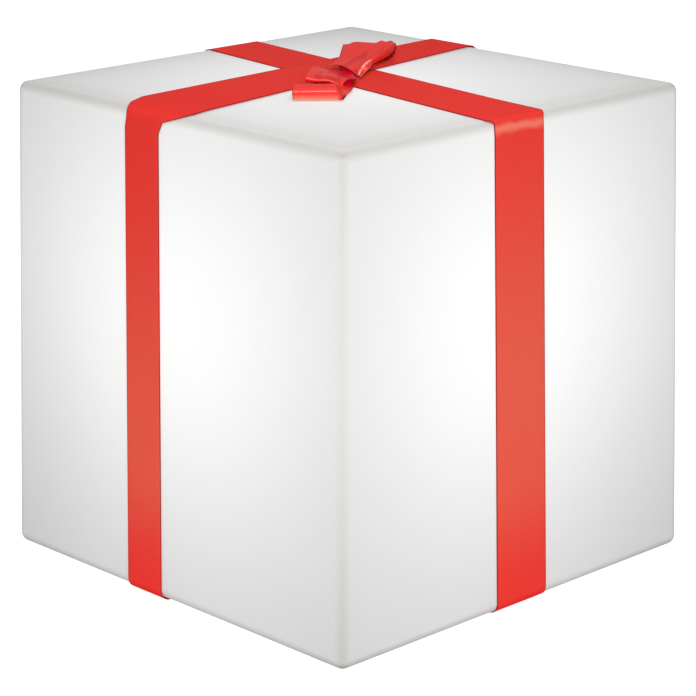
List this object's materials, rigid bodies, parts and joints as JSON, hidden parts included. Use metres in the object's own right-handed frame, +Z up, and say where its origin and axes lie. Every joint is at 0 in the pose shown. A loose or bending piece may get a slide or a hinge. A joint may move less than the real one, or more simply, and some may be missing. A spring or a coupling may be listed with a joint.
{
  "type": "light-up gift box decoration",
  "caption": "Glowing milky plastic gift box with red ribbons and a bow on top, holding a rechargeable lamp in its base.",
  "frame": {"origin": "on the floor under the middle of the box", "axes": "+Z up; X and Y along the edges of the box, with the corner nearest the viewer towards -X and -Y"},
  "size_m": [0.403, 0.4014, 0.4188],
  "materials": {
    "milky_plastic": "translucent satin moulding, lit from inside",
    "red_satin": "woven satin ribbon with a soft sheen",
    "clear_tape": "double-sided tissue tape",
    "white_foam": "closed-cell foam pad",
    "black_rubber": "moulded rubber",
    "grey_silicone": "moulded silicone",
    "brass_insert": "turned brass",
    "zinc_screw": "zinc-plated steel",
    "base_plastic": "fine-textured moulded plastic",
    "housing_plastic": "moulded plastic",
    "button_plastic": "soft-touch moulded plastic",
    "cover_rubber": "moulded elastomer",
    "green_board": "solder-masked circuit board",
    "white_board": "white solder mask on aluminium",
    "black_component": "moulded component body",
    "socket_plastic": "moulded connector housing",
    "nickel": "nickel sheet",
    "cell_wrap": "shrink wrap",
    "cradle_plastic": "moulded plastic",
    "red_lead": "insulated wire",
    "white_lead": "insulated wire",
    "bare_aluminium": "sheet aluminium",
    "phosphor": "phosphor-coated emitter",
    "frosted_dome": "frosted clear plastic",
    "clear_pipe": "clear light pipe"
  },
  "bodies": {
    "box": {"box_shell": "milky_plastic", "front_ribbon": "red_satin", "side_ribbon": "red_satin", "ribbon_tapes": "clear_tape", "bow_front_loop": "red_satin", "bow_left_loop": "red_satin", "bow_back_loop": "red_satin", "bow_knot": "red_satin", "bow_pad": "white_foam", "rubber_feet": "black_rubber", "screw_inserts": "brass_insert", "base_gasket": "grey_silicone", "base_plate": "base_plastic", "base_screws": "zinc_screw", "lamp_housing": "housing_plastic", "housing_screws": "zinc_screw", "control_board": "green_board", "board_screws": "zinc_screw", "button_switch": "black_component", "usb_socket": "nickel", "cover_pin": "zinc_screw", "charge_indicator": "clear_pipe", "vent_plug": "grey_silicone", "battery_cradle": "cradle_plastic", "cradle_screws": "zinc_screw", "battery_cells": "cell_wrap", "cell_links": "nickel", "battery_clamp": "cradle_plastic", "clamp_screws": "zinc_screw", "lead_sockets": "socket_plastic", "battery_leads": "red_lead", "led_leads": "white_lead", "led_plate": "bare_aluminium", "plate_screws": "zinc_screw", "led_board": "white_board", "led_board_screws": "zinc_screw", "led_chips": "phosphor", "light_dome": "frosted_dome"},
    "button": {"power_button": "button_plastic", "button_seal": "grey_silicone", "switch_plunger": "black_component"},
    "cover": {"charge_cover": "cover_rubber", "cover_seal": "grey_silicone"}
  },
  "joints": [
    {"name": "power_button_press", "type": "slide", "parent": "box", "child": "button", "axis": [0, 0, 1], "range_m": [0, 0.001], "stiffness_N_per_m": 2000},
    {"name": "charge_cover_hinge", "type": "hinge", "parent": "box", "child": "cover", "pos_m": [0.022, 0, 0.00625], "axis": [0, -1, 0], "range_deg": [0, 110]}
  ]
}
